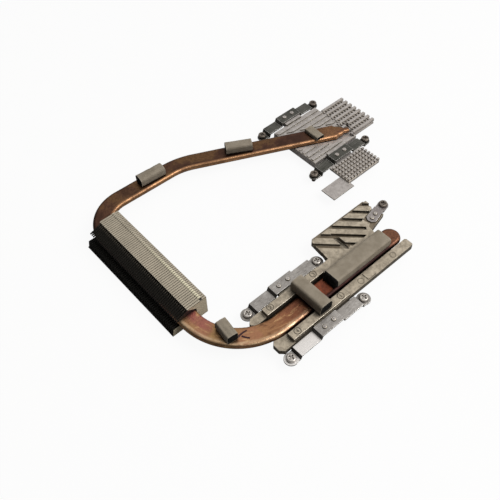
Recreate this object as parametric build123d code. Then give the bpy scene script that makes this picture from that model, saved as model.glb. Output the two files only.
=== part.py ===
from build123d import *
import math
import os

# Laptop heat pipe heatsink, in millimetres.
# Origin: centre of the processor contact face. X runs along the spring arms, Y along the fin
# stack and Z away from the circuit board.

# Heat pipe: a round pipe pressed flat, soldered on the contact plate
pipe_round_d = 9.0
pipe_thick = 4.0
pipe_width = pipe_thick + math.pi * (pipe_round_d - pipe_thick) / 2
contact_thick = 2.0
pipe_z = contact_thick + pipe_thick / 2
pipe_top = pipe_z + pipe_thick / 2
pipe_end_x = 66.6
stack_x = -51.2
near_bend_r = 34.2
far_bend_r = 21.2
far_bend_turn = 91.8
far_bend_inset = 9.4
span_run = 34.8
span_bend_r = 42.5
span_bend_turn = 24.4
gpu_run = 93.4
taper_run = 6.5
nipple_run = 3.7
nipple_width = 3.8
nipple_thick = 2.6
pipe_flat_count = 12

# Fin stack: folded sheet fins with a slot open to the air outlet, so that the pipe slides in
fin_count = 57
fin_pitch = 1.424
fin_sheet = 0.3
fin_height = 14.2
fin_drop = 3.9
fin_back = 13.25
fin_top_front = 0.7
fin_foot_front = 10.4
fin_shelf_front = 9.3
fin_brow = 0.9
brow_proud = 1.2
fin_lap_gap = 0.04
stack_clear = 1.6
slot_spare = 2.9
tongue_from_back = 1.8
tongue_width = 1.9
tongue_rise = 0.35

# Fits
pipe_clear = 0.1
hole_clear = 0.2
peg_clear = 0.05
plate_clear = 0.1

# Processor block: one casting
draft = 1.5
bar_half = 20.7
bar_inner = 7.1
bar_outer = 12.4
bar_top = 6.7
floor_low = 0.6
window_x = 30.0
window_y = 22.0
back_foot_end = 29.0
front_foot_end = 28.4
foot_top = 4.1
foot_corner = 2.2
back_foot = (7.8, 13.2)
front_foot = (-12.8, -4.2)
raised_pad = (35.0, 41.0)
raised_pad_rise = 0.4
tail_end = 71.6
tail_top = 5.7
tail_width = 5.8
tail_corner = 0.8
channel_end = 62.0
seat_low = 2.6
seat_outer = 18.8
wing_top = 5.6
wing_left = 29.1
wing_right = 76.4
wing_back = 29.2
wing_left_corner = 2.4
wing_right_corner = 0.8
rib_back = 27.5
ear_relief_r = 4.2
groove_turn = -45.0
groove_depth = 1.8
right_groove_pitch = 5.975
right_groove_width = 2.3
right_groove_first = 70.15
right_groove_count = 6
left_groove_pitch = 7.07
left_groove_width = 2.9
left_groove_first = 45.4
left_groove_count = 3
cross_slot = (41.6, 44.6, 10.2, 20.6)
cross_slot_depth = 2.7

# Graphics plate: one casting
gpu_x = 95.7
gpu_y = 89.8
plate_half_x = 18.8
plate_half_y = 19.0
plate_shift = 1.35
plate_top = 3.2
plate_low = 1.2
skirt_low = -1.3
skirt_wall = 2.0
boss_side = 26.0
boss_low = -1.5
field_low = 1.5
field_top = 2.6
front_field_top = 3.0
pin_top = 4.3
bump_top = 3.5
bar_share = 0.5
bump_share = 0.42
pin_long_share = 0.66
pin_wide_share = 0.54
rib_rise = 0.7
rib_width = 2.1
rib_pitch = 3.95
rib_rows = 9
rib_shy = 8.7
outer_field_x = 19.6
outer_field_y = 31.3
outer_field_shift = -1.8
tooth_proud = 1.3
outer_bump_columns = 8
outer_bar_rows = 8
front_field_x = 28.6
front_field_y = 15.4
front_field_left = -13.5
front_field_front = -44.2
front_pin_columns = 11
front_pin_rows = 6
strip_clear = 0.2
tab_x = 16.2
tab_y = 10.9
tab_top = 2.1
tab_thick = 0.7

# Spring arms: stamped steel strip, stepped down twice to each ear
arm_sheet = 0.8
arm_width = 7.0
arm_step = 2.4
arm_centre_half = 7.7
arm_run = 0.9
seat_shy = 1.0
cpu_ear_r = 3.9
gpu_ear_r = 3.05
chip_ear_r = 3.2
ear_setback = 4.4
peg_half = 3.3
cpu_arm_y = 17.1
cpu_arm_shift = 0.3
cpu_front_span = 53.6
cpu_back_span = 51.3
cpu_arm_top = 5.9
gpu_span_x = 46.6
gpu_span_y = 47.8
gpu_arm_top = 5.1
chip_x = 70.8
chip_y = 16.2
chip_turn = 13.5
chip_reach = 11.8
chip_tail = 4.8
chip_width = 6.2
chip_corner = 1.8
chip_step = 1.4
chip_arm_top = 5.8
chip_peg_half = 1.95
chip_seat_front = 3.9
chip_seat_back = 3.5

# Pegs of the castings, peened over the arms
peg_d = 2.5
peg_rise = 0.55

# Captive screws: the neck runs free in the ear, the thread cannot drop back through it
screw_head_d = 5.0
screw_head = 1.5
screw_length = 5.2
neck_d = 1.9
neck_length = 3.2
thread_d = 2.5
chip_float = 0.2
head_flat_count = 12
small_flat_count = 8

# Gaskets: foam core in conductive fabric, by length, width and height, and where each stands
wrap = 0.3
foam_clear = 0.02
far_pad = (17.0, 6.8, 5.8)
far_pad_at = (-5.9, 128.2)
far_pad_turn = -4.0
span_pad = (16.8, 6.5, 5.8)
span_pad_at = (49.6, 110.7)
span_pad_turn = -30.0
gpu_pad = (11.6, 6.8, 2.0)
gpu_pad_at = (94.5, 88.2)
gpu_pad_turn = 88.0
bend_pad = (11.4, 6.3, 6.4)
bend_pad_at = (-43.0, 13.6)
bend_pad_turn = 83.0
cross_pad = (22.4, 8.4, 6.5)
cross_pad_at = (3.4, 0.0)
cross_pad_turn = 90.0
long_pad = (42.0, 10.8, 5.0)
long_pad_at = (40.3, 0.6)
long_pad_turn = 0.0

fin_low = -fin_drop
screw_seat = fin_low + screw_length
seat_half = arm_centre_half - seat_shy
stack_near = near_bend_r + stack_clear
stack_far = stack_near + fin_count * fin_pitch


def box(x0, x1, y0, y1, z0, z1):
    """A plain block between two corners."""
    centre = Pos((x0 + x1) / 2, (y0 + y1) / 2, (z0 + z1) / 2)
    return centre * Box(x1 - x0, y1 - y0, z1 - z0)


def cast(x0, x1, y0, y1, z0, z1):
    """A cast block with drafted sides."""
    block = extrude(Rectangle(x1 - x0, y1 - y0), z1 - z0, taper=draft)
    return Pos((x0 + x1) / 2, (y0 + y1) / 2, z0) * block


def rod(x, y, z0, z1, d):
    """A small peg or bore from z0 up to z1, drawn with few flats as there are so many."""
    outline = RegularPolygon(d / 2, small_flat_count, major_radius=False)
    return Pos(x, y, z0) * extrude(outline, z1 - z0)


# Heat pipe: the route lies in one plane and turns the same way at each bend
cpu_line = Line((pipe_end_x, 0), (stack_x + near_bend_r, 0))
near_bend = JernArc(cpu_line @ 1, cpu_line % 1, near_bend_r, -90)
stack_line = Line(near_bend @ 1, (stack_x, stack_far - far_bend_inset))
far_bend = JernArc(stack_line @ 1, stack_line % 1, far_bend_r, -far_bend_turn)
span_line = PolarLine(far_bend @ 1, span_run, direction=far_bend % 1)
span_bend = JernArc(span_line @ 1, span_line % 1, span_bend_r, -span_bend_turn)
gpu_line = PolarLine(span_bend @ 1, gpu_run, direction=span_bend % 1)
route = Wire([cpu_line, near_bend, stack_line, far_bend, span_line, span_bend, gpu_line])


def flat_section(width, thick):
    """A round section pressed flat, its two round sides drawn in flats."""
    half_flat = 180 / pipe_flat_count
    side = RegularPolygon(thick / 2, pipe_flat_count, major_radius=False, rotation=half_flat)
    sides = [Pos(x, 0) * side for x in ((thick - width) / 2, (width - thick) / 2)]
    return make_hull((Sketch() + sides).edges())


def pipe_section(at, along, width, thick):
    """The flattened section of the pipe at a point of its route."""
    across = Plane(origin=at, x_dir=Vector(0, 0, 1).cross(along), z_dir=along)
    return across * flat_section(width, thick)


# The body follows the route, with a spun round end and a pinched filling nipple
body = sweep(pipe_section(route @ 0, route % 0, pipe_width, pipe_thick), path=route)
half_section = flat_section(pipe_width, pipe_thick)
half_section &= Pos(pipe_width / 2, 0) * Rectangle(pipe_width, pipe_thick)
round_end = revolve(Plane.XZ * half_section, Axis.Z, 360)
round_end &= box(0, pipe_width, -pipe_width, pipe_width, -pipe_thick, pipe_thick)
gpu_tip = gpu_line @ 1
gpu_way = gpu_line % 1
wide_mouth = pipe_section(gpu_tip, gpu_way, pipe_width, pipe_thick)
small_mouth = pipe_section(gpu_tip + gpu_way * taper_run, gpu_way, nipple_width, nipple_thick)
taper = loft([wide_mouth, small_mouth])
nipple = extrude(small_mouth, nipple_run, dir=gpu_way)
heat_pipe = Pos(0, 0, pipe_z) * (body + Pos(pipe_end_x, 0) * round_end + taper + nipple)

# One fin: a plate slotted for the pipe, folded over at the top and at the foot
fin_top = fin_low + fin_height
back_x = stack_x + fin_back
slot_low = pipe_z - pipe_thick / 2 - pipe_clear
slot_high = pipe_top + pipe_clear
slot_end = stack_x + pipe_width / 2 + slot_spare
brow_x = stack_x - pipe_width / 2 - brow_proud
fin_outline = Polyline(
    (stack_x - fin_foot_front, fin_low),
    (back_x, fin_low),
    (back_x, fin_top),
    (stack_x + fin_top_front, fin_top),
    (brow_x, slot_high + fin_brow),
    (brow_x, slot_high),
    (slot_end, slot_high),
    (slot_end, slot_low),
    (stack_x - fin_shelf_front, slot_low),
    close=True,
)
fin_plate = extrude(Plane.XZ * make_face(fin_outline), -fin_sheet)
lap = fin_pitch - fin_lap_gap
top_fold = box(stack_x + fin_top_front, back_x, 0, lap, fin_top - fin_sheet, fin_top)
foot_fold = box(stack_x - fin_foot_front, back_x, 0, lap, fin_low, fin_low + fin_sheet)
tongue_x = back_x - tongue_from_back
tongue = box(tongue_x - tongue_width, tongue_x, 0, lap, fin_top - fin_sheet, fin_top + tongue_rise)
fin = fin_plate + top_fold + foot_fold + tongue
radiator_fins = [Pos(0, stack_near + i * fin_pitch, 0) * fin for i in range(fin_count)]


def bent_strip(points, top, width):
    """A strip of arm sheet bent through the given points of its middle plane."""
    strip = extrude(Plane.XZ * trace(Polyline(*points), arm_sheet), width / 2, both=True)
    return Pos(0, 0, top - arm_sheet / 2) * strip


def spring_arm(span, top, ear_r):
    """A stamped arm on X, bridged in the middle and stepped down to an ear at each end."""
    foot = span / 2 - ear_setback
    half = [(arm_centre_half, 0), (arm_centre_half + arm_run, -arm_step), (foot, -arm_step)]
    half += [(foot + arm_run, -2 * arm_step), (span / 2 + ear_r, -2 * arm_step)]
    points = [(-x, z) for x, z in reversed(half)] + half
    plan = Rectangle(2 * (foot + arm_run), arm_width) + Rectangle(span, min(arm_width, 2 * ear_r))
    for side in (-1, 1):
        plan += Pos(side * span / 2, 0) * Circle(ear_r)
    arm = bent_strip(points, top, 2 * max(ear_r, arm_width)) & extrude(plan, 2 * span, both=True)
    for side in (-1, 1):
        arm -= rod(side * span / 2, 0, -span, span, neck_d + 2 * hole_clear)
        arm -= rod(side * peg_half, 0, -span, span, peg_d + 2 * peg_clear)
    return arm


cpu_front_y = cpu_arm_shift - cpu_arm_y
cpu_back_y = cpu_arm_shift + cpu_arm_y
gpu_front_y = gpu_y - gpu_span_y / 2
gpu_back_y = gpu_y + gpu_span_y / 2
cpu_front_arm = Pos(0, cpu_front_y, 0) * spring_arm(cpu_front_span, cpu_arm_top, cpu_ear_r)
cpu_back_arm = Pos(0, cpu_back_y, 0) * spring_arm(cpu_back_span, cpu_arm_top, cpu_ear_r)
gpu_front_arm = Pos(gpu_x, gpu_front_y, 0) * spring_arm(gpu_span_x, gpu_arm_top, gpu_ear_r)
gpu_back_arm = Pos(gpu_x, gpu_back_y, 0) * spring_arm(gpu_span_x, gpu_arm_top, gpu_ear_r)

# The short chipset arm: one round end on the wing, one low step to its ear
chip_at = Pos(chip_x, chip_y, 0) * Rot(0, 0, chip_turn)
chip_knee = chip_reach - ear_setback - arm_run
chip_points = [(-chip_tail, 0), (chip_knee, 0), (chip_knee + arm_run, -chip_step)]
chip_points += [(chip_reach + chip_ear_r, -chip_step)]
chip_plan = Pos((chip_reach - chip_tail) / 2, 0) * Rectangle(chip_reach + chip_tail, chip_width)
chip_plan = chamfer(chip_plan.vertices().group_by(Axis.X)[0], chip_corner)
chip_plan += Pos(chip_reach, 0) * Circle(chip_ear_r)
chip_arm = bent_strip(chip_points, chip_arm_top, 2 * chip_ear_r)
chip_arm &= extrude(chip_plan, 2 * chip_reach, both=True)
chip_arm -= rod(chip_reach, 0, -chip_reach, chip_reach, neck_d + 2 * hole_clear)
for side in (-1, 1):
    chip_arm -= rod(side * chip_peg_half, 0, -chip_reach, chip_reach, peg_d + 2 * peg_clear)
chipset_arm = chip_at * chip_arm

# Processor block: floor under the pipe, a bar on each side, feet, arm seats and a tail
floor_top = contact_thick
cpu_seat = cpu_arm_top - arm_sheet
block = cast(-bar_half, bar_half, -bar_outer, bar_outer, floor_low, floor_top)
block += cast(0, channel_end, -bar_outer + 1.5, bar_inner + 1, floor_low, floor_top)
for side in (-1, 1):
    bar_y = sorted((side * bar_inner, side * bar_outer))
    block += cast(-bar_half, bar_half, *bar_y, floor_low, bar_top)
    seat_y = sorted((side * (bar_outer - 1), side * seat_outer))
    block += cast(-seat_half, seat_half, *seat_y, seat_low, cpu_seat)
for (low, high), end in ((back_foot, back_foot_end), (front_foot, front_foot_end)):
    foot_middle = Pos(-(end + bar_half) / 2, (low + high) / 2)
    foot_shape = foot_middle * Rectangle(end - bar_half + 2, high - low)
    foot_shape = chamfer(foot_shape.vertices().group_by(Axis.X)[0], foot_corner)
    block += Pos(0, 0, floor_low) * extrude(foot_shape, foot_top - floor_low)
tail_shape = Pos(tail_end / 2, -(bar_outer + bar_inner) / 2) * Rectangle(tail_end, tail_width)
tail_shape = chamfer(tail_shape.vertices().group_by(Axis.X)[-1], tail_corner)
block += Pos(0, 0, floor_top) * extrude(tail_shape, tail_top - floor_top)
pad_y = (-bar_outer + 0.2, -bar_inner - 0.3)
block += cast(*raised_pad, *pad_y, floor_top, tail_top + raised_pad_rise)

# Chipset wing: slanted cooling ribs that stop short of a ledge along its back edge
wing_outline = Polyline(
    (bar_half - 2, bar_inner),
    (channel_end, bar_inner),
    (channel_end + 1, bar_outer),
    (wing_right - 2.5, wing_back - 9),
    (wing_right, wing_back - 6),
    (wing_right, wing_back),
    (wing_left + 2, wing_back),
    (wing_left, bar_outer),
    (bar_half - 2, bar_outer - 0.3),
    close=True,
)
wing_shape = make_face(wing_outline)
back_corners = wing_shape.vertices().group_by(Axis.Y)[-1].sort_by(Axis.X)
wing_shape = chamfer(back_corners[0], wing_left_corner)
right_corner = wing_shape.vertices().group_by(Axis.Y)[-1].sort_by(Axis.X)[-1]
wing_shape = chamfer(right_corner, wing_right_corner)
wing = Pos(0, 0, floor_top) * extrude(wing_shape, wing_top - floor_top, taper=draft)
groove_end_x = channel_end - 0.5
groove_zone = make_face(
    Polyline(
        (wing_left + 1.5, wing_back + 5),
        (wing_left + 1.5, bar_outer + 7.5),
        (wing_left + 9.5, bar_inner + 2.3),
        (groove_end_x - 4, bar_inner + 2.3),
        (groove_end_x, bar_outer + 1),
        (groove_end_x, chip_y + 2),
        (wing_right + 6, rib_back - 5.4),
        (wing_right + 6, wing_back + 5),
        close=True,
    )
)


def slanted(first, pitch, width, count):
    """Slanted grooves, the first at a distance from the origin and the next ones nearer."""
    across = [Pos(0, first - i * pitch) * Rectangle(160, width) for i in range(count)]
    return Rot(0, 0, groove_turn) * (Sketch() + across)


slot_middle = (cross_slot[0] + cross_slot[1]) / 2
right_side = Pos(slot_middle + 50, wing_back / 2) * Rectangle(100, 2 * wing_back)
left_side = Pos(slot_middle - 50, wing_back / 2) * Rectangle(100, 2 * wing_back)
grooves = right_side & slanted(
    right_groove_first, right_groove_pitch, right_groove_width, right_groove_count
)
grooves += left_side & slanted(
    left_groove_first, left_groove_pitch, left_groove_width, left_groove_count
)
grooves &= groove_zone
ledge = Pos((wing_left + wing_right) / 2, rib_back + 10) * Rectangle(2 * wing_right, 20)
wing -= Pos(0, 0, wing_top - groove_depth) * extrude(grooves + ledge, groove_depth + 1)
wing -= box(*cross_slot, wing_top - cross_slot_depth, wing_top + 1)
ear_relief = Pos(cpu_back_span / 2, cpu_back_y) * Circle(ear_relief_r)
wing -= Pos(0, 0, floor_top) * extrude(ear_relief, wing_top)
block += wing
chip_seat = chip_arm_top - arm_sheet
strip_middle = (chip_seat_back - chip_seat_front) / 2
strip_shape = Pos(-2.3, strip_middle) * Rectangle(15.0, chip_seat_front + chip_seat_back)
strip_room = Pos(chip_reach / 2, 0) * Rectangle(2 * chip_reach, chip_width + 1.2)
block += chip_at * Pos(0, 0, floor_top) * extrude(strip_shape, chip_seat - floor_top)
block -= chip_at * Pos(0, 0, chip_seat) * extrude(strip_room, wing_top)

# Openings of the block, the pipe channel and the contact window, then the pegs
channel = trace(Wire([cpu_line, near_bend]), pipe_width + 2 * pipe_clear)
channel += Pos(pipe_end_x, 0) * Circle(pipe_width / 2 + pipe_clear)
block -= Pos(0, 0, floor_top) * extrude(channel, bar_top)
window = Rectangle(window_x + 2 * plate_clear, window_y + 2 * plate_clear)
block -= extrude(window, floor_top)
for x in (-peg_half, peg_half):
    for y in (cpu_front_y, cpu_back_y):
        block += rod(x, y, cpu_seat - 1, cpu_arm_top + peg_rise, peg_d)
for x in (-chip_peg_half, chip_peg_half):
    block += chip_at * rod(x, 0, chip_seat - 1, chip_arm_top + peg_rise, peg_d)
cpu_block = block

# Contact plate: copper, let into the window and soldered to the pipe
cpu_contact_plate = extrude(Rectangle(window_x, window_y), contact_thick)

# Graphics plate: skirted plate with a contact boss, arm seats, ribs, pin fields and a tab
plate_x0 = gpu_x + plate_shift - plate_half_x
plate_x1 = gpu_x + plate_shift + plate_half_x
plate_y0 = gpu_y - plate_half_y
plate_y1 = gpu_y + plate_half_y
plate = cast(plate_x0, plate_x1, plate_y0, plate_y1, skirt_low, plate_top)
hollow = Rectangle(plate_x1 - plate_x0 - 2 * skirt_wall, plate_y1 - plate_y0 - 2 * skirt_wall)
hollow -= Pos(-plate_shift, 0) * Rectangle(boss_side, boss_side)
plate -= Pos(gpu_x + plate_shift, gpu_y, skirt_low) * extrude(hollow, plate_low - skirt_low)
boss = extrude(Rectangle(boss_side, boss_side), plate_low - boss_low)
plate += Pos(gpu_x, gpu_y, boss_low) * boss
gpu_seat = gpu_arm_top - arm_sheet
for side in (-1, 1):
    seat_y = sorted((gpu_y + side * (plate_half_y - 1), gpu_y + side * (gpu_span_y / 2 + 1.8)))
    plate += cast(gpu_x - seat_half, gpu_x + seat_half, *seat_y, plate_low, gpu_seat)

# A field of cast bars, a field of cast pins and the flat memory tab
outer_x = plate_x1 + outer_field_x / 2 - 0.5
outer_y = gpu_y + outer_field_shift
front_x = gpu_x + front_field_left + front_field_x / 2
front_y = gpu_y + front_field_front + front_field_y / 2
outer_base = Pos(outer_x - tooth_proud / 2, outer_y) * Rectangle(outer_field_x, outer_field_y)
front_edge = front_y - front_field_y / 2
strip_back = gpu_front_y - arm_width / 2 - strip_clear
front_base = Rectangle(front_field_x - tooth_proud, strip_back - front_edge)
front_base = Pos(front_x - tooth_proud / 2, (front_edge + strip_back) / 2) * front_base
tab_mid_x = front_x - (front_field_x + tab_x) / 2 + 0.3
tab_mid_y = front_y - (front_field_y - tab_y) / 2 - 3.4
link_y0 = front_y + front_field_y / 2 - 1
link = Pos(gpu_x, (link_y0 + gpu_front_y) / 2) * Rectangle(2 * seat_half, gpu_front_y - link_y0)
plate += Pos(0, 0, field_low) * extrude(outer_base + link, field_top - field_low)
plate += Pos(0, 0, field_low) * extrude(front_base, front_field_top - field_low)
tab = Pos(tab_mid_x, tab_mid_y) * Rectangle(tab_x + 1.2, tab_y)
plate += Pos(0, 0, tab_top - tab_thick) * extrude(tab, tab_thick)
bar_grid = GridLocations(1, rib_pitch, 1, outer_bar_rows)
bars = bar_grid * Rectangle(outer_field_x, rib_pitch * bar_share)
bars = Pos(outer_x + 0.6, outer_y) * (Sketch() + bars)
plate += Pos(0, 0, field_top - 0.2) * extrude(bars, pin_top - field_top + 0.2)
bump_step = outer_field_x / outer_bump_columns
bump_grid = GridLocations(bump_step, rib_pitch, outer_bump_columns, outer_bar_rows - 1)
bumps = bump_grid * Rectangle(bump_step * bump_share, rib_pitch * (1 - bar_share) + 0.4)
bumps = Pos(outer_x, outer_y) * (Sketch() + bumps)
plate += Pos(0, 0, field_top - 0.2) * extrude(bumps, bump_top - field_top + 0.2)
pin_step_x = front_field_x / front_pin_columns
pin_step_y = front_field_y / front_pin_rows
pin_grid = GridLocations(pin_step_x, pin_step_y, front_pin_columns, front_pin_rows)
pins = pin_grid * Rectangle(pin_step_x * pin_long_share, pin_step_y * pin_wide_share)
pins = Pos(front_x, front_y) * (Sketch() + pins)
plate += Pos(0, 0, front_field_top - 0.2) * extrude(pins, pin_top - front_field_top + 0.2)

# Ribs stop short of the pipe, which lies in a groove across the plate
pipe_angle = math.degrees(math.atan2(gpu_way.Y, gpu_way.X))
along_pipe = Pos(gpu_tip.X, gpu_tip.Y) * Rot(0, 0, pipe_angle)
ribs = GridLocations(1, rib_pitch, 1, rib_rows) * Rectangle(plate_x1 - plate_x0 - 1.2, rib_width)
ribs = Pos((plate_x0 + plate_x1) / 2, outer_y + rib_pitch / 2) * (Sketch() + ribs)
ribs -= along_pipe * Rectangle(200, 2 * rib_shy)
plate += Pos(0, 0, plate_top - 0.3) * extrude(ribs, rib_rise + 0.3)
groove_length = 60 + taper_run + nipple_run + 1.5
groove = Rectangle(groove_length, pipe_width + 2 * pipe_clear)
groove = along_pipe * Pos(groove_length / 2 - 60, 0) * groove
plate -= Pos(0, 0, pipe_z - pipe_thick / 2) * extrude(groove, plate_top)
for x in (-peg_half, peg_half):
    for y in (gpu_front_y, gpu_back_y):
        plate += rod(gpu_x + x, y, gpu_seat - 1, gpu_arm_top + peg_rise, peg_d)
gpu_plate = plate

# Captive screw, origin under the head
head = RegularPolygon(screw_head_d / 2, head_flat_count, major_radius=False)
screw = extrude(head, screw_head, taper=8)
screw += rod(0, 0, -neck_length, 0, neck_d)
thread = Circle(thread_d / 2)
screw += Pos(0, 0, -screw_length) * extrude(thread, screw_length - neck_length)
chip_ear = (chip_at * Pos(chip_reach, 0, 0)).position
screw_spots = [(chip_ear.X, chip_ear.Y, chip_arm_top - chip_step + chip_float)]
for side in (-1, 1):
    screw_spots += [(side * cpu_front_span / 2, cpu_front_y, screw_seat)]
    screw_spots += [(side * cpu_back_span / 2, cpu_back_y, screw_seat)]
    screw_spots += [(gpu_x + side * gpu_span_x / 2, gpu_front_y, screw_seat)]
    screw_spots += [(gpu_x + side * gpu_span_x / 2, gpu_back_y, screw_seat)]
captive_screws = [Pos(*spot) * screw for spot in screw_spots]


def gasket(size, at, turn, floor):
    """Foam core and fabric wrap of one gasket, standing on a surface at the given height."""
    long, wide, high = size
    place = Pos(*at, floor + high / 2) * Rot(0, 0, turn)
    tube = Rectangle(wide, high) - Rectangle(wide - 2 * wrap, high - 2 * wrap)
    inset = wrap + foam_clear
    core = Rectangle(wide - 2 * inset, high - 2 * inset)
    fabric = extrude(Plane.YZ * tube, long / 2, both=True)
    foam = extrude(Plane.YZ * core, long / 2 - foam_clear, both=True)
    return place * foam, place * fabric


far_pad_foam, far_pad_fabric = gasket(far_pad, far_pad_at, far_pad_turn, pipe_top)
span_pad_foam, span_pad_fabric = gasket(span_pad, span_pad_at, span_pad_turn, pipe_top)
gpu_pad_foam, gpu_pad_fabric = gasket(gpu_pad, gpu_pad_at, gpu_pad_turn, pipe_top)
bend_pad_foam, bend_pad_fabric = gasket(bend_pad, bend_pad_at, bend_pad_turn, pipe_top)
cross_pad_foam, cross_pad_fabric = gasket(cross_pad, cross_pad_at, cross_pad_turn, bar_top)
long_pad_foam, long_pad_fabric = gasket(long_pad, long_pad_at, long_pad_turn, pipe_top)

nodes = {
    "heat_pipe": heat_pipe,
    "radiator_fins": radiator_fins,
    "cpu_block": cpu_block,
    "cpu_contact_plate": cpu_contact_plate,
    "cpu_front_arm": cpu_front_arm,
    "cpu_back_arm": cpu_back_arm,
    "chipset_arm": chipset_arm,
    "gpu_plate": gpu_plate,
    "gpu_front_arm": gpu_front_arm,
    "gpu_back_arm": gpu_back_arm,
    "captive_screws": captive_screws,
    "far_pad_foam": far_pad_foam,
    "far_pad_fabric": far_pad_fabric,
    "span_pad_foam": span_pad_foam,
    "span_pad_fabric": span_pad_fabric,
    "gpu_pad_foam": gpu_pad_foam,
    "gpu_pad_fabric": gpu_pad_fabric,
    "bend_pad_foam": bend_pad_foam,
    "bend_pad_fabric": bend_pad_fabric,
    "cross_pad_foam": cross_pad_foam,
    "cross_pad_fabric": cross_pad_fabric,
    "long_pad_foam": long_pad_foam,
    "long_pad_fabric": long_pad_fabric,
}
os.makedirs("parts", exist_ok=True)
for name, piece in nodes.items():
    pieces = piece if isinstance(piece, list) else [piece]
    group = Compound(children=[solid for entry in pieces for solid in entry.solids()])
    export_step(group, f"parts/{name}.step")
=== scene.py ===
import math

import bmesh
import bpy
from mathutils import Matrix, Vector, noise


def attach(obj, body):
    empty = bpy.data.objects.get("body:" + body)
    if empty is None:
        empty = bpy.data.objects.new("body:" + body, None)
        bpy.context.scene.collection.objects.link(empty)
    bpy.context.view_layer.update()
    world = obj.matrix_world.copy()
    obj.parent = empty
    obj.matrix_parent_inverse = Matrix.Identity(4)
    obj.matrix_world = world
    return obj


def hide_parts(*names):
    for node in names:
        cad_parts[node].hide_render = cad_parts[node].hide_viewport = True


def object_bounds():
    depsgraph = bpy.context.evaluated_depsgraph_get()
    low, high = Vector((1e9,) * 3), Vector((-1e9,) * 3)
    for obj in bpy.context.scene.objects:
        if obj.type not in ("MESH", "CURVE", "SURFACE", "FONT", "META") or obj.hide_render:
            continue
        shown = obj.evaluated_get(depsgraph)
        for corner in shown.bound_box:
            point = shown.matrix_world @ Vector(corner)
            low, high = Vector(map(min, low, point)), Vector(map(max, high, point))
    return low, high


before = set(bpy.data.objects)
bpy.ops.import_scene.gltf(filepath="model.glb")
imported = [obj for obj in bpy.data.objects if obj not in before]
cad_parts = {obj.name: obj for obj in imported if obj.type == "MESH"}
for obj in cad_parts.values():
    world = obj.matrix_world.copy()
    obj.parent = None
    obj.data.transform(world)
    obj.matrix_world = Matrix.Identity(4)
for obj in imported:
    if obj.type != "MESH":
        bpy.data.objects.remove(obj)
solid_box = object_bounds()
MM = 0.001

# Corners that are broken: weld distance in millimetres, angles in degrees, and the room of a bevel
WELD_GAP = 0.002
FLAT_ANGLE = 0.8
CORNER_ANGLE = 28
BEVEL_ROOM = 2.3


# Pieces and meshes

def piece(name, bm, finish, stands_for=(), smooth=True):
    """Turns a mesh drawn in millimetres into a piece of the heatsink."""
    mesh = bpy.data.meshes.new(name)
    bmesh.ops.recalc_face_normals(bm, faces=bm.faces)
    bm.to_mesh(mesh)
    bm.free()
    mesh.transform(Matrix.Scale(MM, 4))
    for face in mesh.polygons:
        face.use_smooth = smooth
    obj = bpy.data.objects.new(name, mesh)
    bpy.context.scene.collection.objects.link(obj)
    for part in finish if isinstance(finish, (list, tuple)) else [finish]:
        mesh.materials.append(part)
    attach(obj, "root")
    if stands_for:
        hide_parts(*stands_for)
    return obj


def sharp_corners(obj, degrees=35):
    """Keeps the corners of a smooth-shaded piece crisp."""
    bm = bmesh.new()
    bm.from_mesh(obj.data)
    for edge in bm.edges:
        bent = edge.is_manifold and edge.calc_face_angle(0) > math.radians(degrees)
        edge.smooth = not bent
    bm.to_mesh(obj.data)
    bm.free()


def skin(bm, rings, closed_ring=True, tag=0):
    """Faces between rings of points. Gives back the rings of vertices."""
    rows = [[bm.verts.new(p) for p in ring] for ring in rings]
    count = len(rows[0])
    last = count if closed_ring else count - 1
    for low, high in zip(rows, rows[1:]):
        for i in range(last):
            j = (i + 1) % count
            bm.faces.new((low[i], low[j], high[j], high[i])).material_index = tag
    return rows


def circle(place, radius, height, count):
    """Points of a level circle."""
    points = []
    for i in range(count):
        a = 2 * math.pi * i / count
        points.append(place @ Vector((radius * math.cos(a), radius * math.sin(a), height)))
    return points


def closed_skin(bm, rings, tag=0):
    """Skin over rings of points, closed at both ends."""
    rows = skin(bm, rings, tag=tag)
    bm.faces.new(rows[0]).material_index = tag
    bm.faces.new(rows[-1]).material_index = tag


def eased(node, name, finish, rim, ease, segments=2):
    """A casting or stamping in its solid's form, with its corners broken and rubbed."""
    bm = bmesh.new()
    bm.from_mesh(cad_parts[node].data)
    bmesh.ops.scale(bm, vec=(1 / MM, 1 / MM, 1 / MM), verts=bm.verts)
    bmesh.ops.remove_doubles(bm, verts=bm.verts, dist=WELD_GAP)
    bmesh.ops.dissolve_limit(
        bm, angle_limit=math.radians(FLAT_ANGLE), verts=bm.verts, edges=bm.edges,
        use_dissolve_boundaries=False)
    room = {v: min(e.calc_length() for e in v.link_edges) for v in bm.verts}
    corners = []
    for edge in bm.edges:
        if not edge.is_manifold or edge.calc_face_angle(0) < math.radians(CORNER_ANGLE):
            continue
        if min(room[v] for v in edge.verts) > BEVEL_ROOM * ease:
            corners.append(edge)
    bmesh.ops.bevel(
        bm, geom=corners, offset=ease, segments=segments, profile=0.5,
        affect="EDGES", clamp_overlap=False, miter_outer="SHARP", material=1)
    obj = piece(name, bm, [finish, rim], [node])
    sharp_corners(obj)
    even = obj.modifiers.new("even", "WEIGHTED_NORMAL")
    even.keep_sharp = True
    shape = obj.evaluated_get(bpy.context.evaluated_depsgraph_get())
    flat = bpy.data.meshes.new_from_object(shape)
    obj.modifiers.remove(even)
    obj.data = flat
    return obj


def paint_shade_on(obj, finish, picks):
    """Gives some faces of a piece a darker finish of their own, picked by place and direction, as
    painted shade.
    """
    obj.data.materials.append(finish)
    for face in obj.data.polygons:
        if picks(face.center / MM, face.normal):
            face.material_index = len(obj.data.materials) - 1


# Finishes

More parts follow.
